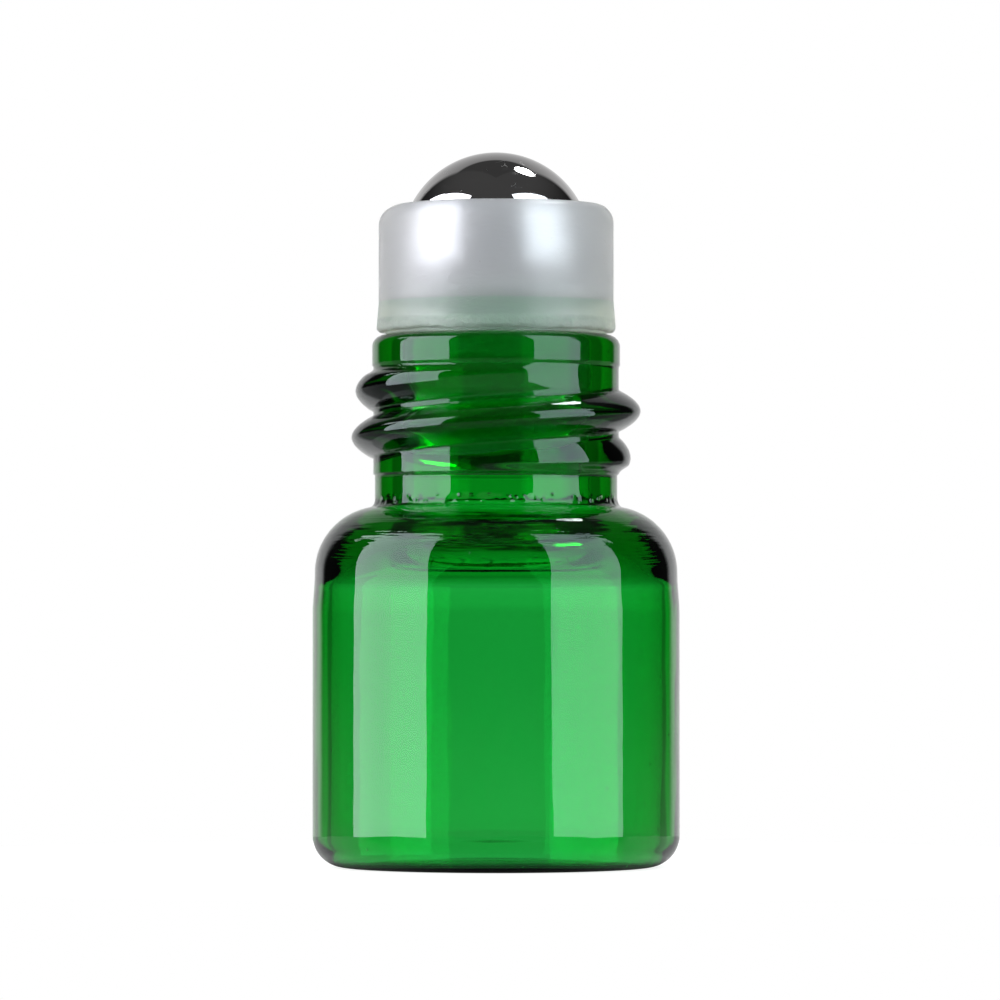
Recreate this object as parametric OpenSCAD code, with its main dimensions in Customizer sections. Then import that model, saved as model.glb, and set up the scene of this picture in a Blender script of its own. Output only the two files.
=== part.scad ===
// Small glass roll-on bottle: a screw-necked vial of coloured glass, a moulded plastic
// roller housing plugged into its neck, and a steel ball that turns in the housing.
// Millimetres. The origin is the centre of the foot, on the surface the bottle stands on,
// with +Z up the bottle's axis and -Y towards the viewer.

/* [Glass body] */
// Outside diameter of the body
body_d = 16; // [14:0.5:20]
// Height of the shoulder's top above the surface the bottle stands on
shoulder_h = 15.7; // [14:0.1:40]
// Thickness of the side wall
wall_t = 0.8; // [0.6:0.1:1.2]
// Radius of the rounded shoulder
shoulder_r = 2.9; // [2:0.1:2.9]
// Height of the stretch below the shoulder over which the body draws in
draw_in_h = 1.8; // [0.5:0.1:3]
// How far the body draws in there
draw_in = 0.1; // [0.02:0.01:0.2]
// How far below the shoulder's top the cone inside it would meet the side wall
ceiling_drop = 2.3; // [2:0.1:4]
// Slope of that cone, in degrees above level
ceiling_a = 31; // [10:1:40]
// Radius of the inside corner between the cone and the side wall
ceiling_corner_r = 2.6; // [1:0.1:2.6]
// Radius of the rounded heel
heel_r = 1.4; // [1:0.05:1.8]
// Width of the flat ring that the bottle stands on
foot_w = 0.5; // [0.3:0.05:1.8]
// Depth of the shallow hollow inside that ring
hollow_h = 0.6; // [0.2:0.05:0.7]
// Thickness of the floor at its edge
floor_t = 0.45; // [0.4:0.05:1.5]
// Radius of the inside corner between wall and floor
floor_corner_r = 0.55; // [0.4:0.05:1.2]
// How far the floor arches up from its edge to the middle
floor_rise = 0.65; // [0.5:0.05:1.2]
// Diameter of the low dome in the middle of the floor
dome_d = 6.6; // [3:0.2:8]
// Height of that dome
dome_h = 0.3; // [0.2:0.05:0.8]

/* [Glass neck] */
// Outside diameter of the neck between the turns of the thread
neck_d = 10.7; // [10.3:0.1:11]
// Height of the rim above the shoulder
neck_h = 7.45; // [7:0.05:9]
// Diameter of the bore through the neck
bore_d = 8.2; // [7.8:0.1:8.6]
// Height of the smooth lip above the thread
lip_h = 1.35; // [1:0.05:2]
// How far the lip stands out past the neck
lip_out = 0.05; // [0.02:0.01:0.3]
// Radius of the rim's outside edge
rim_r = 0.5; // [0.2:0.05:0.6]
// Radius of the rim's inside edge
mouth_r = 0.2; // [0.1:0.05:0.3]
// Height of the plain waist under the thread
waist_h = 1.37; // [0.8:0.01:2]
// How far the waist stands back from the neck
waist_in = 0.07; // [0.02:0.01:0.2]
// Radius of the fillet between the waist and the shoulder
waist_fillet_r = 0.3; // [0.1:0.05:0.5]
// Radius of the inside edge where the bore opens into the body
throat_edge_r = 0.4; // [0.2:0.05:0.4]

/* [Screw thread] */
// Rise of the thread in one turn
thread_pitch = 2.05; // [1.9:0.05:2.2]
// How far the thread stands out from the neck
thread_out = 0.95; // [0.5:0.05:1.2]
// Width of the thread at its foot
thread_w = 1.8; // [1.4:0.05:2]
// Number of turns
thread_turns = 2.23; // [1.5:0.01:2.3]
// Height of the thread's lower end above the shoulder
thread_low_h = 1.41; // [1.2:0.01:2]
// Bearing of the thread's lower end, in degrees from +X
thread_low_a = -110; // [-180:5:180]
// Degrees over which the thread rises out of the neck at its lower end
run_in_a = 210; // [60:10:260]
// Degrees over which it sinks back at its upper end
run_out_a = 210; // [60:10:260]

/* [Roller housing] */
// Thickness of the collar's wall outside the ball's socket
collar_wall = 0.925; // [0.875:0.005:1.2]
// Radius of the collar's top edge
collar_edge_r = 0.85; // [0.3:0.05:0.85]
// Radius of the collar's foot edge
collar_foot_r = 0.2; // [0.05:0.05:0.3]
// How far the collar's foot flares out
flare_out = 0.09; // [0.02:0.01:0.2]
// Height of that flare
flare_h = 1.3; // [0.5:0.1:1.6]
// Height of the flange that sits on the glass rim under the collar
flange_h = 0.1; // [0.05:0.05:0.5]
// How far the flange stands back from the collar
flange_in = 0.32; // [0.1:0.02:0.4]
// Height of the socket's floor above the collar's foot
socket_floor_h = 1.3; // [1.1:0.05:1.5]
// Diameter of the feed bore through the plug
feed_d = 6.2; // [5:0.1:6.3]
// Length of the plug below the glass rim
plug_l = 5.15; // [4:0.05:6]
// Gap between the plug and the neck's bore
plug_gap = 0.12; // [0.08:0.01:0.2]
// Number of sealing beads round the plug
bead_count = 3; // [1:1:4]
// Gap between the sealing beads and the neck's bore
bead_gap = 0.03; // [0.01:0.01:0.05]
// Radius of each bead's round section
bead_r = 0.3; // [0.25:0.05:0.4]
// Chamfer on the plug's leading end
plug_chamfer = 0.35; // [0.1:0.05:0.45]
// Gap between the flange and the glass rim
seat_gap = 0.04; // [0.01:0.01:0.1]

/* [Ball] */
// Diameter of the ball
ball_d = 8.3; // [8.1:0.1:8.5]
// How far the ball dips below the socket's floor
ball_sink = 1.75; // [1.5:0.05:1.9]
// How far the ball stands out of the collar
ball_out = 2.3; // [2.1:0.1:2.6]
// Running gap all round the ball
ball_gap = 0.05; // [0.02:0.01:0.1]

/* [Hidden] */
$fn = 96;

// How far a cut runs past the solid it cuts, or a filler runs into one
overrun = 0.5;

// Radii
body_r = body_d / 2;
neck_r = neck_d / 2;
bore_r = bore_d / 2;
throat_r = bore_r + throat_edge_r;
lip_r = neck_r + lip_out;
waist_r = neck_r - waist_in;
foot_r = body_r - heel_r - foot_w;
arch_r = body_r - draw_in - shoulder_r;
inner_r = body_r - wall_t;
floor_r = inner_r - floor_corner_r;
ceiling_r = inner_r - ceiling_corner_r;
dome_r = dome_d / 2;
plug_r = bore_r - plug_gap;
feed_r = feed_d / 2;
ball_r = ball_d / 2;
socket_r = ball_r + ball_gap;
collar_r = socket_r + collar_wall;
flange_r = collar_r - flange_in;

// Heights above the foot, from the bottom up
shoulder_z = shoulder_h - shoulder_r;
draw_in_z = shoulder_z - draw_in_h;
ceiling_z = cone_z(ceiling_r) - ceiling_corner_r / cos(ceiling_a);
throat_z = cone_z(throat_r) + throat_edge_r / cos(ceiling_a);
dome_z = floor_t + cap_height(floor_r, floor_rise, dome_r);
waist_z = shoulder_h + waist_h;
rim_z = shoulder_h + neck_h;
lip_z = rim_z - lip_h;
plug_z = rim_z - plug_l;
flange_z = rim_z + seat_gap;
collar_z = flange_z + flange_h;
socket_z = collar_z + socket_floor_h;
ball_z = socket_z + ball_r - ball_sink;
collar_top_z = ball_z + ball_r - ball_out;

// The threaded stretch of the neck is a sleeve of facets round the smooth core. It runs this far
// up inside the lip, and its inner side lies this far inside the glass.
sleeve_lap = 0.2;
sleeve_t = 0.4;
// Height of the stretch over which the thread dies away towards the lip and the waist
thread_end_h = 0.45;
// Height of one row of facets, and how many make a turn
facet_h = 0.24;
facet_columns = 64;
facet_rows = ceil((lip_z + sleeve_lap - waist_z) / facet_h);
// Power that shapes the crest: 1 is a cosine, and less makes it rounder
thread_round_power = 0.85;

// Height of the cone inside the shoulder, at a distance from its axis
function cone_z(at) = shoulder_h - ceiling_drop + (inner_r - at) * tan(ceiling_a);

// Radius of a cap's sphere, from the radius and the height of the cap
function cap_sphere_r(r, h) = (r * r + h * h) / (2 * h);

// Height of that cap's surface above its foot, at a distance from its axis
function cap_height(r, h, at) =
    let (sphere = cap_sphere_r(r, h))
    h - sphere + sqrt(sphere * sphere - at * at);

// A smooth step from 0 to 1
function ease(t) = let (c = max(0, min(1, t))) c * c * (3 - 2 * c);

// Rectangle of a half section, between two radii and two heights
module band(r0, r1, z0, z1) {
    translate([r0, z0]) square([r1 - r0, z1 - z0]);
}

// Disc of a half section
module disc(r, z, radius) {
    translate([r, z]) circle(radius);
}

// Cap of a sphere of a half section, standing on height z
module cap(r, h, z) {
    intersection() {
        disc(0, z + h - cap_sphere_r(r, h), cap_sphere_r(r, h));
        band(0, r, z, z + h + overrun);
    }
}

// Filler between the shoulder's arc and the waist, with a fillet that touches both
module shoulder_fillet() {
    middle_r = waist_r + waist_fillet_r;
    reach = shoulder_r + waist_fillet_r;
    middle_z = shoulder_z + sqrt(reach * reach - pow(middle_r - arch_r, 2));
    difference() {
        band(0, arch_r + (middle_r - arch_r) * shoulder_r / reach, shoulder_z, middle_z);
        disc(middle_r, middle_z, waist_fillet_r);
    }
}

// Half section of the cone inside the shoulder, with the rounded edge where the bore opens into it
module shoulder_cone() {
    side_r = ceiling_r + ceiling_corner_r * sin(ceiling_a);
    polygon([
        [0, ceiling_z],
        [side_r, ceiling_z],
        [side_r, cone_z(side_r)],
        [bore_r, cone_z(bore_r)],
        [0, cone_z(bore_r)]
    ]);
    difference() {
        band(0, throat_r, throat_z - throat_edge_r * cos(ceiling_a), throat_z);
        disc(throat_r, throat_z, throat_edge_r);
    }
}

// Filler of the inside corner at (r, z) that opens outwards and downwards
module fillet_below(r, z, radius) {
    difference() {
        band(r - overrun, r + radius, z - radius, z + overrun);
        disc(r + radius, z - radius, radius);
    }
}

// Half section of the bottle's outside, filled in to the axis
module glass_outside() {
    band(0, body_r - heel_r, 0, heel_r);
    disc(body_r - heel_r, heel_r, heel_r);
    band(0, body_r, heel_r, draw_in_z);
    polygon([
        [0, draw_in_z],
        [body_r, draw_in_z],
        [arch_r + shoulder_r, shoulder_z],
        [0, shoulder_z]
    ]);
    disc(arch_r, shoulder_z, shoulder_r);
    band(0, waist_r, shoulder_z, lip_z);
    shoulder_fillet();
    band(0, lip_r, lip_z, rim_z - rim_r);
    disc(lip_r - rim_r, rim_z - rim_r, rim_r);
    band(0, lip_r - rim_r, lip_z, rim_z);
}

// Half section of the space inside the bottle, and of the hollow under it
module glass_inside() {
    difference() {
        union() {
            band(0, floor_r, floor_t, floor_t + floor_corner_r);
            disc(floor_r, floor_t + floor_corner_r, floor_corner_r);
            band(0, inner_r, floor_t + floor_corner_r, ceiling_z);
            disc(ceiling_r, ceiling_z, ceiling_corner_r);
            shoulder_cone();
            band(0, bore_r, floor_t, rim_z + overrun);
            fillet_below(bore_r, rim_z, mouth_r);
        }
        cap(floor_r, floor_rise, floor_t);
        band(0, dome_r, floor_t, dome_z);
        cap(dome_r, dome_h, dome_z);
    }
    intersection() {
        disc(0, hollow_h - cap_sphere_r(foot_r, hollow_h), cap_sphere_r(foot_r, hollow_h));
        band(0, body_r, -overrun, hollow_h + overrun);
    }
}

// Height of the thread across its foot, as a share, from -1 at the lower foot to 1 at the upper
function thread_section(v) =
    abs(v) >= 1 ? 0 : pow(cos(90 * v), thread_round_power);

// How far the turn that starts a degrees along the thread stands out at height z
function thread_turn(a, z) =
    thread_out * ease(a / run_in_a) * ease((thread_turns * 360 - a) / run_out_a)
    * thread_section((z - shoulder_h - thread_low_h - thread_pitch * a / 360) / (thread_w / 2));

// How far the thread stands out at a bearing and a height, with every turn that passes there
function thread_at(bearing, z) =
    let (first = (bearing - thread_low_a) % 360,
         a = first < 0 ? first + 360 : first)
    ease((z - waist_z) / thread_end_h) * ease((lip_z - z) / thread_end_h)
    * max([for (turn = [0 : thread_turns]) thread_turn(a + 360 * turn, z)]);

// One upright section of the sleeve: its outer side from the bottom up, then its inner side
function sleeve_section(bearing) = [
    for (j = [0 : facet_rows])
        let (z = waist_z + (lip_z + sleeve_lap - waist_z) * j / facet_rows,
             r = neck_r + thread_at(bearing, z))
        [r * cos(bearing), r * sin(bearing), z],
    for (z = [lip_z + sleeve_lap, waist_z])
        let (r = neck_r - sleeve_t)
        [r * cos(bearing), r * sin(bearing), z]
];

// Sleeve with a raised round thread, right-handed, that runs out smoothly at both ends
module threaded_sleeve() {
    n = facet_rows + 3;
    points = [
        for (i = [0 : facet_columns - 1])
            each sleeve_section(360 * i / facet_columns)
    ];
    faces = [
        for (i = [0 : facet_columns - 1])
            for (j = [0 : n - 1])
                let (here = i * n,
                     next = ((i + 1) % facet_columns) * n,
                     up = (j + 1) % n)
                each [
                    [here + j, here + up, next + up],
                    [here + j, next + up, next + j]
                ]
    ];
    polyhedron(points, faces, convexity = 8);
}

// Vial of coloured glass with a rounded shoulder and a threaded neck
module glass_bottle() {
    color([0.06, 0.52, 0.18])
    union() {
        rotate_extrude()
        difference() {
            glass_outside();
            glass_inside();
        }
        threaded_sleeve();
    }
}

// Half section of the roller housing's outside, filled in to the axis
module housing_outside() {
    polygon([
        [0, plug_z],
        [plug_r - plug_chamfer, plug_z],
        [plug_r, plug_z + plug_chamfer],
        [plug_r, collar_z],
        [0, collar_z]
    ]);
    for (i = [1 : bead_count])
        disc(bore_r - bead_gap - bead_r, plug_z + plug_l * i / (bead_count + 1), bead_r);
    band(0, flange_r, flange_z, collar_z + overrun);
    band(0, collar_r + flare_out - collar_foot_r, collar_z, collar_z + collar_foot_r);
    disc(collar_r + flare_out - collar_foot_r, collar_z + collar_foot_r, collar_foot_r);
    polygon([
        [0, collar_z + collar_foot_r],
        [collar_r + flare_out, collar_z + collar_foot_r],
        [collar_r, collar_z + flare_h],
        [collar_r, collar_top_z - collar_edge_r],
        [0, collar_top_z - collar_edge_r]
    ]);
    disc(collar_r - collar_edge_r, collar_top_z - collar_edge_r, collar_edge_r);
    band(0, collar_r - collar_edge_r, collar_z, collar_top_z);
}

// One moulding: collar and ball socket, flange, and a beaded plug with the feed bore
module roller_housing() {
    color([0.86, 0.89, 0.90])
    difference() {
        rotate_extrude() housing_outside();
        translate([0, 0, plug_z - overrun])
            cylinder(h = ball_z - plug_z + overrun, r = feed_r);
        translate([0, 0, socket_z])
            cylinder(h = ball_z - socket_z, r = socket_r);
        translate([0, 0, ball_z])
            sphere(r = socket_r);
    }
}

// Polished steel ball, held by the socket's lip and free to turn
module roller_ball() {
    color([0.75, 0.76, 0.78])
    translate([0, 0, ball_z])
        sphere(r = ball_r);
}

glass_bottle();
roller_housing();
roller_ball();
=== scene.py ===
import math
import bpy
import mathutils
import numpy as np
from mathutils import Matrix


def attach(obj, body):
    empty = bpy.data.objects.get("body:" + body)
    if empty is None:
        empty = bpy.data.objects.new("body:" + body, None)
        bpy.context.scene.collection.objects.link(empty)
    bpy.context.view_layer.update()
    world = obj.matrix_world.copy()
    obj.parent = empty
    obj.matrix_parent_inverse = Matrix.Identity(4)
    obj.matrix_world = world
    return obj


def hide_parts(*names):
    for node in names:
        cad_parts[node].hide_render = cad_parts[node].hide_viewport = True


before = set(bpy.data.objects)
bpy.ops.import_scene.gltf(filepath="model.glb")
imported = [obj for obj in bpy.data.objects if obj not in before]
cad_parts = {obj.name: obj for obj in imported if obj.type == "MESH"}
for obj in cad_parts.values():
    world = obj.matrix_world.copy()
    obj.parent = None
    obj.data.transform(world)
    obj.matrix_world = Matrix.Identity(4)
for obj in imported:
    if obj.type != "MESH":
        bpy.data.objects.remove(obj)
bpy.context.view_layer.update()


# Glass vial: clear green soda glass, drawn as a tube, closed at the foot and blown to its
# shoulder and thread in a flame and a mould, so every edge is soft and the walls ripple.
# It stands on a ring round a shallow hollow and carries everything else.
MM = 0.001
BODY_R, INNER_R, HEEL_R, SHOULDER_R = 7.995, 7.2, 1.4, 2.9
SHOULDER_Z, DRAW_IN_Z, DRAW_IN = 12.8, 11.0, 0.095
CEILING_EDGE_Z, CEILING_LEAN, CEILING_CORNER_R, THROAT_R = 13.4, 31.0, 2.6, 0.4
FOOT_R, HOLLOW_H = 6.1, 0.6
FLOOR_Z, CORNER_R, FLOOR_RISE, DOME_R, DOME_H = 0.45, 0.55, 0.65, 3.3, 0.3
NECK_R, WAIST_R, LIP_R, BORE_R = 5.35, 5.28, 5.4, 4.1
WAIST_Z, LIP_Z, RIM_Z = 17.07, 21.8, 23.15
WAIST_FILLET_R, RIM_R, MOUTH_R = 0.3, 0.5, 0.2
PITCH, THREAD_OUT, THREAD_W, THREAD_TURNS = 2.05, 0.95, 1.8, 2.23
THREAD_LOW_Z, THREAD_LOW_A, RUN_A, THREAD_TILT, THREAD_ROUND = 17.11, -110.0, 210.0, 0.07, 0.85
STEP_H, THREAD_END_H = 0.02, 0.45
OUTER_STREAK, INNER_STREAK, STREAK_FADE_R, STREAK_LEAN = 0.006, 0.02, 3.0, 0.15
TRUE_WALL, LEAST_STREAK = 0.3, 0.15
CRIMP, CRIMP_Z, CRIMP_H = 0.03, 15.86, 0.16
VIAL_COLUMNS = 256


def ease(t):
    """A smooth step from 0 to 1: c * c * (3 - 2 c), where c is t kept between 0 and 1."""
    c = np.clip(t, 0, 1)
    return c * c * (3 - 2 * c)


def arc(centre_r, centre_z, radius, start, end, count):
    """Points (centre + radius * (cos a, sin a)) for count angles a from start to end degrees."""
    a = np.radians(np.linspace(start, end, count))
    return np.column_stack([centre_r + radius * np.cos(a), centre_z + radius * np.sin(a)])


def line(r0, z0, r1, z1, count):
    """count points evenly spaced on the straight line from (r0, z0) to (r1, z1)."""
    return np.column_stack([np.linspace(r0, r1, count), np.linspace(z0, z1, count)])


def section(*runs):
    """Joins runs of points into one section and leaves out a point that repeats the last."""
    points = np.vstack(runs)
    far = np.hypot(*np.diff(points, axis=0).T) > 1e-5
    return points[np.concatenate([[True], far])]


def ripple(bearing, height, seed, count, most_turns, wave):
    """Soft random waviness, mostly between -1 and 1: the sum of count cosines
    cos(n * bearing + k * height + phase) over the root of count, n a whole number up to most_turns
    and k within 2 pi / wave."""
    rng = np.random.default_rng(seed)
    n = rng.integers(1, most_turns + 1, count)
    k = rng.uniform(-1, 1, count) * 2 * np.pi / wave
    phase = rng.uniform(0, 2 * np.pi, count)
    waves = np.cos(n * bearing[..., None] + k * height[..., None] + phase)
    return waves.sum(-1) / math.sqrt(count)


def turned_mesh(name, r, z, closed_loop=False):
    """Turns a section round the Z axis: column i, row j lies at
    (r_ij cos(2 pi i / n), r_ij sin(2 pi i / n), z_ij). The section either starts and ends on the
    axis, where each end is one point, or is a closed loop. Millimetres become metres."""
    columns, rows = r.shape
    bearing = 2 * np.pi * np.arange(columns) / columns
    grid = np.stack([r * np.cos(bearing)[:, None], r * np.sin(bearing)[:, None], z], -1)
    i, j = np.meshgrid(np.arange(columns), np.arange(rows), indexing="ij")
    here, right = i * rows + j, (i + 1) % columns * rows + j
    if closed_loop:
        up = np.roll(np.arange(rows), -1)
        quads = np.stack([here, right, right[:, up], here[:, up]], -1).reshape(-1, 4)
        points, faces = grid.reshape(-1, 3), quads.tolist()
    else:
        inner = rows - 2
        here = i[:, :inner] * inner + j[:, :inner]
        right = (i[:, :inner] + 1) % columns * inner + j[:, :inner]
        quads = np.stack(
            [here[:, :-1], right[:, :-1], right[:, 1:], here[:, 1:]], -1
        ).reshape(-1, 4)
        low, high = columns * inner, columns * inner + 1
        first = np.stack([np.full(columns, low), right[:, 0], here[:, 0]], -1)
        last = np.stack([here[:, -1], right[:, -1], np.full(columns, high)], -1)
        points = np.vstack([grid[:, 1:-1].reshape(-1, 3), grid[0, :1], grid[0, -1:]])
        faces = quads.tolist() + first.tolist() + last.tolist()
    mesh = bpy.data.meshes.new(name)
    mesh.from_pydata((points * MM).tolist(), [], faces)
    mesh.polygons.foreach_set("use_smooth", np.ones(len(mesh.polygons), bool))
    mesh.update()
    piece = bpy.data.objects.new(name, mesh)
    bpy.context.scene.collection.objects.link(piece)
    return piece


def thread_height(bearing, z):
    """How far the round thread stands out: at a degrees along the helix its middle is at
    low end + pitch * a / 360 + tilt * cos(bearing), and across it falls away as a power of a cosine.
    It rises out of the neck over the run at its low end and sinks back over that at its high end."""
    height = np.zeros_like(z)
    for turn in range(3):
        a = (np.degrees(bearing) - THREAD_LOW_A) % 360 + 360 * turn
        middle = THREAD_LOW_Z + PITCH * a / 360 + THREAD_TILT * np.cos(bearing)
        v = (z - middle) / (THREAD_W / 2)
        across = np.where(np.abs(v) < 1, np.cos(np.pi / 2 * v), 0).clip(0) ** THREAD_ROUND
        along = ease(a / RUN_A) * ease((THREAD_TURNS * 360 - a) / RUN_A)
        height = np.maximum(height, THREAD_OUT * along * across)
    return height * ease((z - WAIST_Z) / THREAD_END_H) * ease((LIP_Z - z) / THREAD_END_H)


def cap_sphere(r, h):
    """A cap of a sphere from its own radius and height: the sphere's radius, (r * r + h * h) / (2 h),
    and the angle in degrees between its axis and its edge, asin(r / sphere)."""
    sphere = (r * r + h * h) / (2 * h)
    return sphere, math.degrees(math.asin(r / sphere))


def vial_section():
    """The wall's section from the foot's centre up the outside, over the rim and down the inside
    to the middle of the floor: arcs joined by straight runs."""
    hollow_r, hollow_a = cap_sphere(FOOT_R, HOLLOW_H)
    floor_edge_r = INNER_R - CORNER_R
    slope = math.tan(math.radians(CEILING_LEAN))
    level = 1 / math.cos(math.radians(CEILING_LEAN))
    corner_r = INNER_R - CEILING_CORNER_R
    corner_z = CEILING_EDGE_Z + (slope - level) * CEILING_CORNER_R
    throat_r = BORE_R + THROAT_R
    throat_z = CEILING_EDGE_Z + slope * (INNER_R - throat_r) + level * THROAT_R
    floor_r, floor_a = cap_sphere(floor_edge_r, FLOOR_RISE)
    dome_r, dome_a = cap_sphere(DOME_R, DOME_H)
    dome_foot_z = FLOOR_Z + FLOOR_RISE - floor_r + math.sqrt(floor_r**2 - DOME_R**2)
    foot_a = math.degrees(math.asin(DOME_R / floor_r))
    arch_r = BODY_R - DRAW_IN - SHOULDER_R
    reach = SHOULDER_R + WAIST_FILLET_R
    aside = WAIST_R + WAIST_FILLET_R - arch_r
    fillet_z = SHOULDER_Z + math.sqrt(reach**2 - aside**2)
    touch_a = math.degrees(math.acos(aside / reach))
    draw_in = line(BODY_R, DRAW_IN_Z, BODY_R, SHOULDER_Z, 14)
    draw_in[:, 0] -= DRAW_IN * ease(np.linspace(0, 1, 14))
    return section(
        arc(0, HOLLOW_H - hollow_r, hollow_r, 90, 90 - hollow_a, 16),
        line(FOOT_R, 0, BODY_R - HEEL_R, 0, 6),
        arc(BODY_R - HEEL_R, HEEL_R, HEEL_R, -90, 0, 20),
        line(BODY_R, HEEL_R, BODY_R, DRAW_IN_Z, 16),
        draw_in,
        arc(arch_r, SHOULDER_Z, SHOULDER_R, 0, touch_a, 28),
        arc(WAIST_R + WAIST_FILLET_R, fillet_z, WAIST_FILLET_R, touch_a + 180, 180, 8),
        line(WAIST_R, fillet_z, WAIST_R, WAIST_Z - STEP_H, 10),
        line(NECK_R, WAIST_Z + STEP_H, NECK_R, LIP_Z - STEP_H, 90),
        line(LIP_R, LIP_Z + STEP_H, LIP_R, RIM_Z - RIM_R, 8),
        arc(LIP_R - RIM_R, RIM_Z - RIM_R, RIM_R, 0, 90, 12),
        line(LIP_R - RIM_R, RIM_Z, BORE_R + MOUTH_R, RIM_Z, 4),
        arc(BORE_R + MOUTH_R, RIM_Z - MOUTH_R, MOUTH_R, 90, 180, 6),
        line(BORE_R, RIM_Z - MOUTH_R, BORE_R, throat_z, 20),
        arc(throat_r, throat_z, THROAT_R, 180, 270 - CEILING_LEAN, 12),
        arc(corner_r, corner_z, CEILING_CORNER_R, 90 - CEILING_LEAN, 0, 28),
        line(INNER_R, corner_z, INNER_R, FLOOR_Z + CORNER_R, 20),
        arc(floor_edge_r, FLOOR_Z + CORNER_R, CORNER_R, 0, -90, 16),
        arc(0, FLOOR_Z + FLOOR_RISE - floor_r, floor_r, 90 - floor_a, 90 - foot_a, 14),
        arc(0, dome_foot_z + DOME_H - dome_r, dome_r, 90 - dome_a, 90, 14),
    )


def section_grid(outline, columns):
    """Repeats a section in every column: the grids of radius, height and bearing, where column i
    has the bearing 2 pi i / columns."""
    r = np.repeat(outline[None, :, 0], columns, 0)
    z = np.repeat(outline[None, :, 1], columns, 0)
    return r, z, 2 * np.pi * np.arange(columns)[:, None] / columns + 0 * r


outline = vial_section()
r, z, bearing = section_grid(outline, VIAL_COLUMNS)
outside = np.arange(outline.shape[0])[None, :] + 0 * r < np.argmax(outline[:, 1])
on_neck = outside & (z > WAIST_Z) & (z < LIP_Z)
r = r + np.where(on_neck, thread_height(bearing, z), 0)
# streaks from drawing run up the wall, deeper inside than outside, where the body is nearly true
streaks = ripple(bearing, STREAK_LEAN * z, seed=11, count=14, most_turns=9, wave=30)
held = ease((BODY_R - r) / TRUE_WALL) + LEAST_STREAK
streak_depth = np.where(outside, -OUTER_STREAK * held, INNER_STREAK)
r = r + streak_depth * ease(r / STREAK_FADE_R) * streaks
# the tool that formed the neck left small crimps round its foot
crimps = ripple(bearing, z, seed=5, count=30, most_turns=58, wave=1.4)
r = r + np.where(outside, CRIMP * crimps * np.exp(-(((z - CRIMP_Z) / CRIMP_H) ** 2)), 0)
r = np.minimum(r, BODY_R)
glass_vial = turned_mesh("glass_vial", r, z)


def new_material(name):
    """An empty node material: the material, its tree, its output and its Principled shader."""
    material = bpy.data.materials.new(name)
    material.use_nodes = True
    tree = material.node_tree
    tree.nodes.clear()
    output = tree.nodes.new("ShaderNodeOutputMaterial")
    shader = tree.nodes.new("ShaderNodeBsdfPrincipled")
    tree.links.new(shader.outputs["BSDF"], output.inputs["Surface"])
    return material, tree, output, shader


def add(tree, kind, inputs=None, **settings):
    """Adds one node, sets its properties, and sets or links its inputs: a socket is linked,
    anything else is its value."""
    made = tree.nodes.new(kind)
    for key, value in settings.items():
        setattr(made, key, value)
    for key, value in (inputs or {}).items():
        if isinstance(value, bpy.types.NodeSocket):
            tree.links.new(value, made.inputs[key])
        else:
            made.inputs[key].default_value = value
    return made


def maths(tree, operation, first, second=0.0):
    """The value that one Math node puts out."""
    return add(tree, "ShaderNodeMath", {0: first, 1: second}, operation=operation).outputs[0]


def ramp(tree, value, low, high, at_low=0.0, at_high=1.0):
    """A smooth step: at_low where value is below low, at_high where it is above high."""
    return add(
        tree, "ShaderNodeMapRange",
        {"Value": value, "From Min": low, "From Max": high, "To Min": at_low, "To Max": at_high},
        interpolation_type="SMOOTHSTEP",
    ).outputs["Result"]


def mix(tree, factor, first, second):
    """The value that lies factor of the way from first to second."""
    return add(tree, "ShaderNodeMix", {0: factor, 2: first, 3: second}).outputs[0]


def mix_colour(tree, factor, first, second):
    """The colour that lies factor of the way from first to second."""
    return add(
        tree, "ShaderNodeMix", {"Factor": factor, "A": first, "B": second}, data_type="RGBA"
    ).outputs["Result"]


def object_mm(tree, stretch=(1, 1, 1)):
    """Object coordinates in millimetres, stretched along each axis."""
    place = add(tree, "ShaderNodeTexCoord")
    scale = tuple(s / MM for s in stretch)
    return add(
        tree, "ShaderNodeMapping", {"Vector": place.outputs["Object"], "Scale": scale}
    ).outputs["Vector"]


def effect(name, **inputs):
    """A shader node group that turns a vector and named numbers into one mask: the group, the node
    that gives its inputs, and a function that takes the mask's socket and closes the group."""
    group = bpy.data.node_groups.new(name, "ShaderNodeTree")
    group.interface.new_socket(name="Vector", in_out="INPUT", socket_type="NodeSocketVector")
    for key, value in inputs.items():
        socket = group.interface.new_socket(name=key, in_out="INPUT", socket_type="NodeSocketFloat")
        socket.default_value = value
    group.interface.new_socket(name="Mask", in_out="OUTPUT", socket_type="NodeSocketFloat")
    start, end = group.nodes.new("NodeGroupInput"), group.nodes.new("NodeGroupOutput")
    return group, start.outputs, lambda mask: group.links.new(mask, end.inputs["Mask"])


def use(tree, group, vector, **values):
    """Places an effect in a material and gives its mask."""
    node = add(tree, "ShaderNodeGroup", node_tree=group)
    tree.links.new(vector, node.inputs["Vector"])
    for key, value in values.items():
        node.inputs[key].default_value = value
    return node.outputs["Mask"]


# small round marks, such as bubbles and dust: in a share of the cells of a Voronoi pattern, a soft
# dot whose radius is given in cells
specks, given, close = effect("specks", Density=1.0, Share=0.1, Radius=0.1)
cells = add(specks, "ShaderNodeTexVoronoi", {"Vector": given["Vector"], "Scale": given["Density"]})
chance = add(specks, "ShaderNodeSeparateColor", {"Color": cells.outputs["Color"]}).outputs["Red"]
marked = maths(specks, "LESS_THAN", chance, given["Share"])
dot = ramp(specks, cells.outputs["Distance"], 0.0, given["Radius"], 1.0, 0.0)
close(maths(specks, "MULTIPLY", marked, dot))

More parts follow.
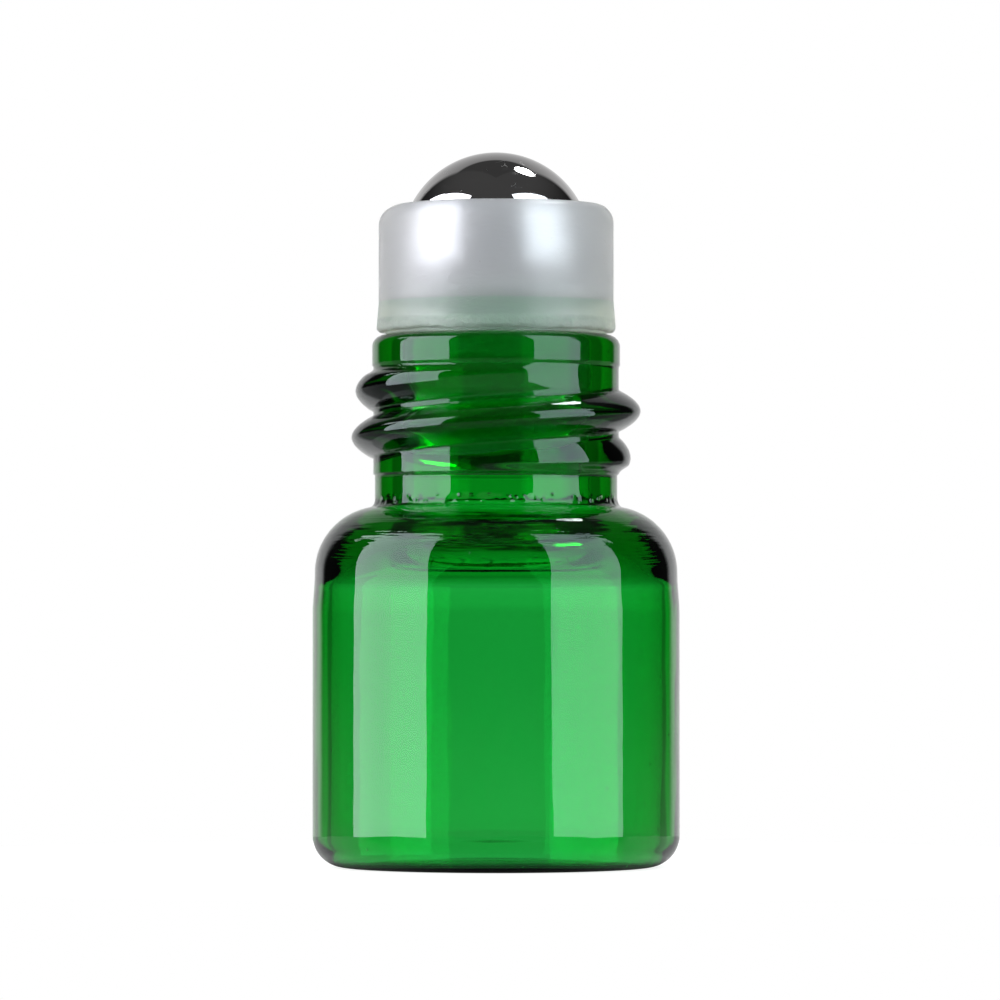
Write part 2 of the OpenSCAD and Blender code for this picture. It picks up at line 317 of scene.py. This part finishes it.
# hair-fine scratches: the edges between long, bent Voronoi cells, broken up by a noise so that only
# short pieces of them are left
scratches, given, close = effect("scratches", Density=0.5, Width=0.01, Share=0.4)
bend = add(
    scratches, "ShaderNodeTexNoise", {"Vector": given["Vector"], "Scale": 0.7, "Detail": 1.0}
)
bent = add(
    scratches, "ShaderNodeVectorMath",
    {0: bend.outputs["Color"], 1: (1.2, 1.2, 1.2), 2: given["Vector"]}, operation="MULTIPLY_ADD",
)
cells = add(
    scratches, "ShaderNodeTexVoronoi",
    {"Vector": bent.outputs["Vector"], "Scale": given["Density"]}, feature="DISTANCE_TO_EDGE",
)
edge = ramp(scratches, cells.outputs["Distance"], 0.0, given["Width"], 1.0, 0.0)
breaks = add(
    scratches, "ShaderNodeTexNoise", {"Vector": given["Vector"], "Scale": 1.6, "Detail": 2.0}
)
kept = maths(scratches, "LESS_THAN", breaks.outputs["Fac"], given["Share"])
close(maths(scratches, "MULTIPLY", edge, kept))


def height_band(tree, low, high, edge):
    """A mask that is 1 between two heights in millimetres and fades out over an edge on each side."""
    height = add(tree, "ShaderNodeSeparateXYZ", {"Vector": object_mm(tree)}).outputs["Z"]
    return maths(
        tree, "MULTIPLY", ramp(tree, height, low - edge, low + edge),
        ramp(tree, height, high - edge, high + edge, 1.0, 0.0),
    )


def noise(tree, vector, scale, detail=2.0, roughness=0.5):
    """The value of a Noise Texture, about 0.5 on the average."""
    return add(
        tree, "ShaderNodeTexNoise",
        {"Vector": vector, "Scale": scale, "Detail": detail, "Roughness": roughness},
    ).outputs["Fac"]


def raise_surface(tree, shader, height, unit=MM):
    """Shades the surface as if it stood out by height * unit, a length in metres."""
    bump = add(tree, "ShaderNodeBump", {"Height": height, "Strength": 1.0, "Distance": unit})
    tree.links.new(bump.outputs["Normal"], shader.inputs["Normal"])


def fill(tree, output, colour, density):
    """Fills a piece with a stuff that absorbs light: light loses density * (1 - colour) of itself
    for each metre of its way, as long as that share is small."""
    stuff = add(tree, "ShaderNodeVolumeAbsorption", {"Color": colour, "Density": density})
    tree.links.new(stuff.outputs["Volume"], output.inputs["Volume"])


# colours, the density of the green, and heights in millimetres
BOTTLE_GREEN, GREEN_DENSITY = (0.0, 0.839, 0.36, 1), 2900
GLASS_GLINT, CLEAR, DUST = (0.8, 1.0, 1.0, 1), (1, 1, 1, 1), (0.12, 0.2, 0.14, 1)
WAVE_H, CREASE_H, BEAD_H, SEED_H = 0.03, 0.02, 0.06, 0.03
CREASES_LOW_Z, CREASES_HIGH_Z, BEADS_LOW_Z, BEADS_HIGH_Z = 13.9, 15.3, 15.8, 16.15
green_glass, tree, output, shader = new_material("green_glass")
shader.inputs["Roughness"].default_value = 0.0
shader.inputs["Specular Tint"].default_value = GLASS_GLINT
shader.inputs["IOR"].default_value = 1.5
shader.inputs["Transmission Weight"].default_value = 1
fill(tree, output, BOTTLE_GREEN, GREEN_DENSITY)
dust = use(tree, specks, object_mm(tree), Density=0.62, Share=0.14, Radius=0.07)
tree.links.new(mix_colour(tree, dust, CLEAR, DUST), shader.inputs["Base Color"])
# the drawn wall is faintly wavy, the shoulder keeps short level creases from the forming flame,
# the foot of the neck a row of tiny beads, and the glass holds a few seeds
waves = noise(tree, object_mm(tree, stretch=(1, 1, 0.3)), scale=0.35)
waves = maths(tree, "MULTIPLY", waves, WAVE_H)
creases = maths(
    tree, "MULTIPLY",
    noise(tree, object_mm(tree, stretch=(0.5, 0.5, 9.0)), scale=0.8, detail=1.0),
    maths(tree, "MULTIPLY", height_band(tree, CREASES_LOW_Z, CREASES_HIGH_Z, edge=0.4), CREASE_H),
)
beads = maths(
    tree, "MULTIPLY", use(tree, specks, object_mm(tree), Density=2.6, Share=0.75, Radius=0.42),
    maths(tree, "MULTIPLY", height_band(tree, BEADS_LOW_Z, BEADS_HIGH_Z, edge=0.08), BEAD_H),
)
seeds = use(tree, specks, object_mm(tree), Density=0.9, Share=0.1, Radius=0.06)
seeds = maths(tree, "MULTIPLY", seeds, SEED_H)
height = maths(tree, "ADD", maths(tree, "ADD", waves, creases), maths(tree, "ADD", beads, seeds))
raise_surface(tree, shader, height)
glass_vial.data.materials.append(green_glass)
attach(glass_vial, "bottle")
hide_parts("glass_bottle")


# Roller housing: one moulding of natural, translucent polyethylene. Its plug with three sealing
# beads is pressed into the neck, its flange sits on the glass rim, and its collar holds the ball
# in a round socket with a lip.
COLLAR_R, COLLAR_Z, COLLAR_TOP_Z, COLLAR_EDGE_R = 5.125, 23.29, 28.84, 0.85
FOOT_EDGE_R, FLARE_OUT, FLARE_H, FLANGE_Z, FLANGE_R = 0.2, 0.09, 1.3, 23.19, 4.805
COLLAR_TILT, TILT_FADE, FLASH, FLASH_H, FLASH_EDGE = 0.012, 0.5, 0.03, 0.12, 0.05
PLUG_R, PLUG_Z, PLUG_L, CHAMFER, FEED_R = 3.98, 18.0, 5.15, 0.35, 3.1
BEADS, BEAD_R, BEAD_TOP_R = 3, 0.3, 4.07
SOCKET_R, SOCKET_Z, BALL_Z, BALL_R = 4.2, 24.59, 26.99, 4.15
HOUSING_COLUMNS = 192


def plug_side():
    """The plug's outer side from its chamfer up to the flange, a straight wall that a round bead
    breaks at each quarter of its length."""
    half = math.degrees(math.acos((PLUG_R - BEAD_TOP_R + BEAD_R) / BEAD_R))
    runs = [line(PLUG_R - CHAMFER, PLUG_Z, PLUG_R, PLUG_Z + CHAMFER, 4)]
    low = PLUG_Z + CHAMFER
    for bead in range(1, BEADS + 1):
        middle = PLUG_Z + PLUG_L * bead / (BEADS + 1)
        step = BEAD_R * math.sin(math.radians(half))
        runs.append(line(PLUG_R, low, PLUG_R, middle - step, 5))
        runs.append(arc(BEAD_TOP_R - BEAD_R, middle, BEAD_R, -half, half, 9))
        low = middle + step
    runs.append(line(PLUG_R, low, PLUG_R, FLANGE_Z, 5))
    return np.vstack(runs)


def housing_section():
    """The moulding's section, a closed loop: up the plug, out round the flange and the collar,
    over its edge, down the round socket to its floor and down the feed bore."""
    mouth_a = math.degrees(math.asin((COLLAR_TOP_Z - BALL_Z) / SOCKET_R))
    mouth_r = SOCKET_R * math.cos(math.radians(mouth_a))
    seat_r = math.sqrt(SOCKET_R**2 - (BALL_Z - SOCKET_Z) ** 2)
    seat_a = math.degrees(math.asin((BALL_Z - SOCKET_Z) / SOCKET_R))
    feed_a = math.degrees(math.acos(FEED_R / SOCKET_R))
    feed_top_z = BALL_Z - SOCKET_R * math.sin(math.radians(feed_a))
    foot_r = COLLAR_R + FLARE_OUT - FOOT_EDGE_R
    return section(
        plug_side(),
        line(PLUG_R, FLANGE_Z, FLANGE_R, FLANGE_Z, 5),
        line(FLANGE_R, FLANGE_Z, FLANGE_R, COLLAR_Z, 3),
        line(FLANGE_R, COLLAR_Z, foot_r, COLLAR_Z, 4),
        arc(foot_r, COLLAR_Z + FOOT_EDGE_R, FOOT_EDGE_R, -90, 0, 8),
        line(COLLAR_R + FLARE_OUT, COLLAR_Z + FOOT_EDGE_R, COLLAR_R, COLLAR_Z + FLARE_H, 8),
        line(COLLAR_R, COLLAR_Z + FLARE_H, COLLAR_R, COLLAR_TOP_Z - COLLAR_EDGE_R, 20),
        arc(COLLAR_R - COLLAR_EDGE_R, COLLAR_TOP_Z - COLLAR_EDGE_R, COLLAR_EDGE_R, 0, 90, 14),
        line(COLLAR_R - COLLAR_EDGE_R, COLLAR_TOP_Z, mouth_r, COLLAR_TOP_Z, 5),
        arc(0, BALL_Z, SOCKET_R, mouth_a, 0, 14),
        line(SOCKET_R, BALL_Z, SOCKET_R, SOCKET_Z, 12),
        line(SOCKET_R, SOCKET_Z, seat_r, SOCKET_Z, 5),
        arc(0, BALL_Z, SOCKET_R, -seat_a, -feed_a, 5),
        line(FEED_R, feed_top_z, FEED_R, PLUG_Z, 24),
        line(FEED_R, PLUG_Z, PLUG_R - CHAMFER, PLUG_Z, 4)[:-1],
    )


r, z, bearing = section_grid(housing_section(), HOUSING_COLUMNS)
# a ragged edge of flash at the collar's foot, and a collar that leans a little, clear of its socket
flash = ripple(bearing, z, seed=3, count=24, most_turns=40, wave=5.0)
flash = FLASH * flash * np.exp(-(((z - COLLAR_Z) / FLASH_H) ** 2))
z = z + np.where(r > FLANGE_R + FLASH_EDGE, flash, 0)
leaning = ease((r - SOCKET_R) / TILT_FADE) * ease((z - COLLAR_Z) / TILT_FADE)
z = z + COLLAR_TILT * r * np.cos(bearing) * leaning
plastic_housing = turned_mesh("plastic_housing", r, z, closed_loop=True)

# colours, the density of the milkiness, roughnesses, and heights in millimetres
MILK, THIN_MILK = (0.9, 0.94, 0.98, 1), (0.93, 0.96, 0.99, 1)
MILK_WARMTH, MILK_DENSITY = (1.0, 0.95, 0.86, 1), 260
# the green tinge is painted light, the green glass's glow on the plastic's foot; the grit is real
# dirt
PAINTED_GREEN_GLOW, PAINTED_GLOW_SHARE, GRIT = (0.76, 0.95, 0.9, 1), 0.7, (0.25, 0.22, 0.18, 1)
PAINTED_GLOW_LOW_Z, PAINTED_GLOW_HIGH_Z, CHIPS_LOW_Z, CHIPS_HIGH_Z = 22.0, 24.6, 23.2, 23.75
SKIN_ROUGHNESS, HAIR_ROUGHNESS = 0.38, 0.2
GRAIN_H, LIP_H, CHIP_H = 0.012, 0.008, 0.12
natural_plastic, tree, output, shader = new_material("natural_plastic")
shader.inputs["IOR"].default_value = 1.5
shader.inputs["Transmission Weight"].default_value = 0.84
fill(tree, output, MILK_WARMTH, MILK_DENSITY)
haze = mix_colour(tree, noise(tree, object_mm(tree), scale=0.5), MILK, THIN_MILK)
# painted light: the glass's green glow is painted into the colour of the thick foot under the socket,
# in a band of heights
painted_glow = height_band(tree, PAINTED_GLOW_LOW_Z, PAINTED_GLOW_HIGH_Z, edge=0.06)
painted_glow = maths(tree, "MULTIPLY", painted_glow, PAINTED_GLOW_SHARE)
with_painted_glow = mix_colour(tree, painted_glow, haze, PAINTED_GREEN_GLOW)
grit = use(tree, specks, object_mm(tree), Density=1.3, Share=0.16, Radius=0.06)
tree.links.new(mix_colour(tree, grit, with_painted_glow, GRIT), shader.inputs["Base Color"])
hairs = object_mm(tree, stretch=(1, 1, 2.5))
hairs = use(tree, scratches, hairs, Density=0.5, Width=0.01, Share=0.36)
rough = maths(tree, "ADD", maths(tree, "MULTIPLY", hairs, HAIR_ROUGHNESS), SKIN_ROUGHNESS)
tree.links.new(rough, shader.inputs["Roughness"])
# fine grain with flow lines from moulding, the scratches' raised lips, and a chipped foot edge
grain = noise(tree, object_mm(tree, stretch=(1, 1, 3.0)), scale=2.2, detail=3.0)
grain = maths(tree, "MULTIPLY", grain, GRAIN_H)
lips = maths(tree, "MULTIPLY", hairs, LIP_H)
flash_chips = maths(
    tree, "MULTIPLY", noise(tree, object_mm(tree), scale=3.4, detail=3.0, roughness=0.7),
    maths(tree, "MULTIPLY", height_band(tree, CHIPS_LOW_Z, CHIPS_HIGH_Z, edge=0.15), CHIP_H),
)
raise_surface(tree, shader, maths(tree, "ADD", maths(tree, "ADD", grain, lips), flash_chips))
plastic_housing.data.materials.append(natural_plastic)
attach(plastic_housing, "fitment")
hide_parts("roller_housing")


# Roller ball: one ball of polished stainless steel, snapped into the socket, where it turns
# freely and carries liquid up from the feed bore.
BALL_COLUMNS, BALL_ROWS = 240, 121
r, z, bearing = section_grid(arc(0, BALL_Z, BALL_R, -90, 90, BALL_ROWS), BALL_COLUMNS)
steel_ball = turned_mesh("steel_ball", r, z)

# a thin film and smears from handling, hair scratches and a few motes: their colours, how much of
# the ball is smeared, roughnesses, and the height of the motes in millimetres
FILMED, BARE = (0.62, 0.61, 0.62, 1), (0.70, 0.69, 0.68, 1)
SMEARS_FROM, SMEARS_FULL, POLISH, SMEAR_ROUGHNESS = 0.52, 0.72, 0.03, 0.12
MARK_ROUGHNESS, MOTE_H = 0.35, 0.004
polished_steel, tree, output, shader = new_material("polished_steel")
shader.inputs["Metallic"].default_value = 1
film = mix_colour(tree, noise(tree, object_mm(tree), scale=0.6, detail=3.0), FILMED, BARE)
tree.links.new(film, shader.inputs["Base Color"])
smears = object_mm(tree, stretch=(1, 1, 2.5))
smears = noise(tree, smears, scale=1.1, detail=4.0, roughness=0.6)
smears = ramp(tree, smears, SMEARS_FROM, SMEARS_FULL, POLISH, SMEAR_ROUGHNESS)
hairs = use(tree, scratches, object_mm(tree), Density=0.9, Width=0.01, Share=0.4)
motes = use(tree, specks, object_mm(tree), Density=1.6, Share=0.2, Radius=0.08)
marks = maths(tree, "MULTIPLY", maths(tree, "MAXIMUM", hairs, motes), MARK_ROUGHNESS)
tree.links.new(maths(tree, "MAXIMUM", smears, marks), shader.inputs["Roughness"])
raise_surface(tree, shader, motes, MOTE_H * MM)
steel_ball.data.materials.append(polished_steel)
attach(steel_ball, "ball")
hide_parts("roller_ball")


# Studio: a pale floor that runs into a white backdrop, a long soft box on each side, a small round
# lamp high behind, and a camera 26 cm in front, a third of the way up the bottle.
FLOOR_R, FLOOR_DROP, FLOOR_SIDES = 0.032, 0.00002, 96
# the floor's levels, and ramps of them that paint shade and a bright rim into its glow: from and to
# in millimetres, and the level at each end
FLOOR_WHITE, BY_LAMPS, BY_LAMPS_IN_GLASS = 0.86, 0.3, 0.08
PAINTED_DARK_AHEAD, PAINTED_BRIGHT_RIM = (4.0, 9.0, 1.0, 0.1), (7.0, 8.0, 0.05, 0.45)
PAINTED_SHADE_MIDDLE, PAINTED_SHADE_OUTER = (5.0, 7.3, 0.2, 0.02), (7.6, 14.0, 0.0, 0.7)
turn = 2 * np.pi * np.arange(FLOOR_SIDES) / FLOOR_SIDES
ring = np.column_stack([FLOOR_R * np.cos(turn), FLOOR_R * np.sin(turn), 0 * turn - FLOOR_DROP])
floor_mesh = bpy.data.meshes.new("studio_floor")
floor_mesh.from_pydata(ring.tolist(), [], [list(range(FLOOR_SIDES))])
studio_floor = bpy.data.objects.new("studio_floor", floor_mesh)
bpy.context.scene.collection.objects.link(studio_floor)
floor_white = bpy.data.materials.new("floor_white")
floor_white.use_nodes = True
tree = floor_white.node_tree
tree.nodes.clear()
output = tree.nodes.new("ShaderNodeOutputMaterial")
path = add(tree, "ShaderNodeLightPath").outputs
by_piece = maths(tree, "MAXIMUM", path["Is Glossy Ray"], path["Is Transmission Ray"])
seen = maths(tree, "MAXIMUM", path["Is Camera Ray"], by_piece)
diffuse = mix(tree, by_piece, BY_LAMPS, BY_LAMPS_IN_GLASS)
diffuse = add(tree, "ShaderNodeBsdfDiffuse", {"Color": diffuse})
# painted shade and a painted bright rim in the floor's glow, as glass and metal see it: little light
# under the bottle, a bright rim round its foot, and in front of that the floor is painted dark; the
# camera sees it white
place = object_mm(tree)
from_axis = add(tree, "ShaderNodeVectorMath", {0: place}, operation="LENGTH").outputs["Value"]
behind = add(tree, "ShaderNodeSeparateXYZ", {"Vector": place}).outputs["Y"]
painted_dark_ahead = ramp(tree, maths(tree, "MULTIPLY", behind, -1.0), *PAINTED_DARK_AHEAD)
painted_rim_ahead = maths(tree, "MULTIPLY", ramp(tree, from_axis, *PAINTED_BRIGHT_RIM), painted_dark_ahead)
painted_shade_through = maths(tree, "ADD", ramp(tree, from_axis, *PAINTED_SHADE_MIDDLE), ramp(tree, from_axis, *PAINTED_SHADE_OUTER))
glow = mix(tree, path["Is Transmission Ray"], painted_rim_ahead, painted_shade_through)
glow = mix(tree, path["Is Camera Ray"], glow, FLOOR_WHITE)
emission = add(tree, "ShaderNodeEmission", {"Strength": maths(tree, "MULTIPLY", seen, glow)})
both = add(tree, "ShaderNodeAddShader", {0: diffuse.outputs[0], 1: emission.outputs[0]})
tree.links.new(both.outputs[0], output.inputs["Surface"])
floor_mesh.materials.append(floor_white)


BOTTLE_MIDDLE_Z = 0.016


def studio_lamp(
    name, azimuth, elevation, distance, aside, size, colour, radiance, roll=0.0, shape="RECTANGLE"
):
    """An area lamp in a plane that faces the middle of the bottle, moved aside in that plane by
    (to the viewer's right, up) and rolled in it by degrees. Azimuth is measured from the camera's
    side (-Y) towards +X. Its power is radiance * pi * area, and a ray that only passed through
    glass looks past it."""
    lamp = bpy.data.lights.new(name, "AREA")
    lamp.shape = shape
    lamp.size = size[0]
    area = size[0] * size[1]
    if shape == "RECTANGLE":
        lamp.size_y = size[1]
    else:
        area *= math.pi / 4
    lamp.energy = radiance * math.pi * area
    lamp.color = colour
    a, e = math.radians(azimuth), math.radians(elevation)
    out = np.array([math.sin(a) * math.cos(e), -math.cos(a) * math.cos(e), math.sin(e)])
    across = np.array([math.cos(a), math.sin(a), 0])
    up = np.array([-math.sin(a) * math.sin(e), math.cos(a) * math.sin(e), math.cos(e)])
    middle = np.array([0, 0, BOTTLE_MIDDLE_Z])
    holder = bpy.data.objects.new(name, lamp)
    holder.location = middle + distance * out + aside[0] * across + aside[1] * up
    facing = mathutils.Euler((math.pi / 2 - e, 0, a)).to_matrix()
    facing = facing @ mathutils.Matrix.Rotation(math.radians(roll), 3, "Z")
    holder.rotation_euler = facing.to_euler()
    holder.visible_camera = False
    bpy.context.scene.collection.objects.link(holder)
    lamp.use_nodes = True
    tree = lamp.node_tree
    tree.nodes.clear()
    path = add(tree, "ShaderNodeLightPath").outputs
    entered = maths(tree, "GREATER_THAN", path["Transmission Depth"], 0.5)
    unmirrored = maths(tree, "LESS_THAN", path["Glossy Depth"], 0.5)
    strength = maths(tree, "SUBTRACT", 1.0, maths(tree, "MULTIPLY", entered, unmirrored))
    shine = add(tree, "ShaderNodeEmission", {"Strength": strength})
    add(tree, "ShaderNodeOutputLight", {0: shine.outputs[0]})


# where the lamps stand (azimuth, elevation, distance), their tints, their radiance and their roll
LEFT, LEFT_TINT, LEFT_RADIANCE, LEFT_ROLL = (-55, 0, 0.35), (1.0, 0.99, 1.06), 4.4, 4.5
RIGHT, RIGHT_TINT, RIGHT_RADIANCE = (37, 0, 0.35), (0.9, 0.97, 1.03), 3.3
HIGH, HIGH_TINT, HIGH_RADIANCE = (141, 61.5, 0.26), (1, 1, 1), 15.0
studio_lamp(
    "soft_box_left", *LEFT, (-0.157, 0.235), (0.423, 0.64), LEFT_TINT, LEFT_RADIANCE, LEFT_ROLL
)
studio_lamp("soft_box_left_wing", *LEFT, (-0.566, 0.48), (0.37, 0.15), LEFT_TINT, LEFT_RADIANCE)
studio_lamp("soft_box_right", *RIGHT, (0.191, 0.29), (0.41, 0.75), RIGHT_TINT, RIGHT_RADIANCE)
studio_lamp("soft_box_right_wing", *RIGHT, (0.466, 0.54), (0.14, 0.25), RIGHT_TINT, RIGHT_RADIANCE)
studio_lamp("lamp_high", *HIGH, (0, 0), (0.058, 0.058), HIGH_TINT, HIGH_RADIANCE, shape="DISK")

# what the surround shows: heights are sines of the elevation, levels are brightness, and a ramp
# gives its two ends and the levels there
BACKDROP = [
    (0.0, 0.8), (0.17, 0.72), (0.27, 0.64), (0.38, 0.52), (0.56, 0.42), (0.76, 0.28), (0.79, 0.05),
    (1.0, 0.05),
]
BACKDROP_EDGE = (math.radians(32), math.radians(42), 1.0, 0.0)
ROOM_FLOOR, ROOM_TOP = (-0.05, 0.0, 0.25, 0.015), (0.4, 0.9, 0.0, 0.05)
POST_AZIMUTH, POST_EDGE = math.radians(38), (math.radians(3), math.radians(7), 0.05, 1.0)
UPPER_FALL, LOWER_FALL = (0.13, 0.5, 1.0, 0.35), (-0.035, -0.005, 0.8, 0.68)
ROOM_LEVEL, WALL_LEVEL = 0.4, 0.35
world = bpy.data.worlds.new("studio_world")
bpy.context.scene.world = world
world.use_nodes = True
world.cycles.sampling_method = "NONE"
tree = world.node_tree
tree.nodes.clear()
output = tree.nodes.new("ShaderNodeOutputWorld")
way = add(tree, "ShaderNodeTexCoord").outputs["Generated"]
way = add(tree, "ShaderNodeSeparateXYZ", {0: way}).outputs
from_back = maths(tree, "ABSOLUTE", maths(tree, "ARCTAN2", way["X"], way["Y"]))

# the backdrop is white near the floor, falls off upwards, and ends at about 50 degrees
backdrop = add(tree, "ShaderNodeValToRGB", {0: way["Z"]})
stops = backdrop.color_ramp.elements
for height, _ in BACKDROP[1:-1]:
    stops.new(height)
for stop, (_, level) in zip(stops, BACKDROP):
    stop.color = (level, level, level, 1)
# the room in front of the bottle is dark, a little lighter on its floor and overhead
front = maths(tree, "ADD", ramp(tree, way["Z"], *ROOM_FLOOR), ramp(tree, way["Z"], *ROOM_TOP))
mirrored = mix(tree, ramp(tree, from_back, *BACKDROP_EDGE), front, backdrop.outputs["Color"])
# seen straight through glass the surround is white, less so high up, with dark posts at its corners
corner = maths(tree, "PINGPONG", from_back, math.pi / 2)
corner = maths(tree, "ABSOLUTE", maths(tree, "SUBTRACT", corner, POST_AZIMUTH))
post = ramp(tree, corner, *POST_EDGE)
walls = maths(
    tree, "MULTIPLY", ramp(tree, way["Z"], *UPPER_FALL), ramp(tree, way["Z"], *LOWER_FALL)
)
through = maths(tree, "MINIMUM", post, walls)
path = add(tree, "ShaderNodeLightPath").outputs
level = mix(tree, path["Is Glossy Ray"], ROOM_LEVEL, mirrored)
# light that comes out of the glass after a reflection inside it meets the room's pale walls, and
# only a ray that was mirrored by nothing sees the white surround
level = mix(tree, path["Is Transmission Ray"], level, maths(tree, "MAXIMUM", mirrored, WALL_LEVEL))
unmirrored = maths(tree, "LESS_THAN", path["Glossy Depth"], 0.5)
straight = maths(tree, "MULTIPLY", path["Is Transmission Ray"], unmirrored)
level = mix(tree, straight, level, through)
level = mix(tree, path["Is Camera Ray"], level, 1.0)
background = add(tree, "ShaderNodeBackground", {"Color": (1, 1, 1, 1), "Strength": level})
tree.links.new(background.outputs[0], output.inputs["Surface"])

# the eye is low in front of the bottle and looks up at it a little
EYE_X, EYE_DISTANCE, EYE_Z, UPWARD_TILT = 0.00017, 0.260, 0.0108, 1.14
camera = bpy.data.cameras.new("camera")
camera.lens = 214.7
camera.sensor_width = 36
camera_holder = bpy.data.objects.new("camera", camera)
camera_holder.location = (EYE_X, -EYE_DISTANCE, EYE_Z)
camera_holder.rotation_euler = (math.radians(90 + UPWARD_TILT), 0, 0)
bpy.context.scene.collection.objects.link(camera_holder)
bpy.context.scene.camera = camera_holder
bpy.context.scene.view_settings.view_transform = "Standard"
# light is mirrored many times inside the thick glass of the shoulder and the thread
cycles = bpy.context.scene.cycles
cycles.glossy_bounces = cycles.transmission_bounces = cycles.max_bounces = 24
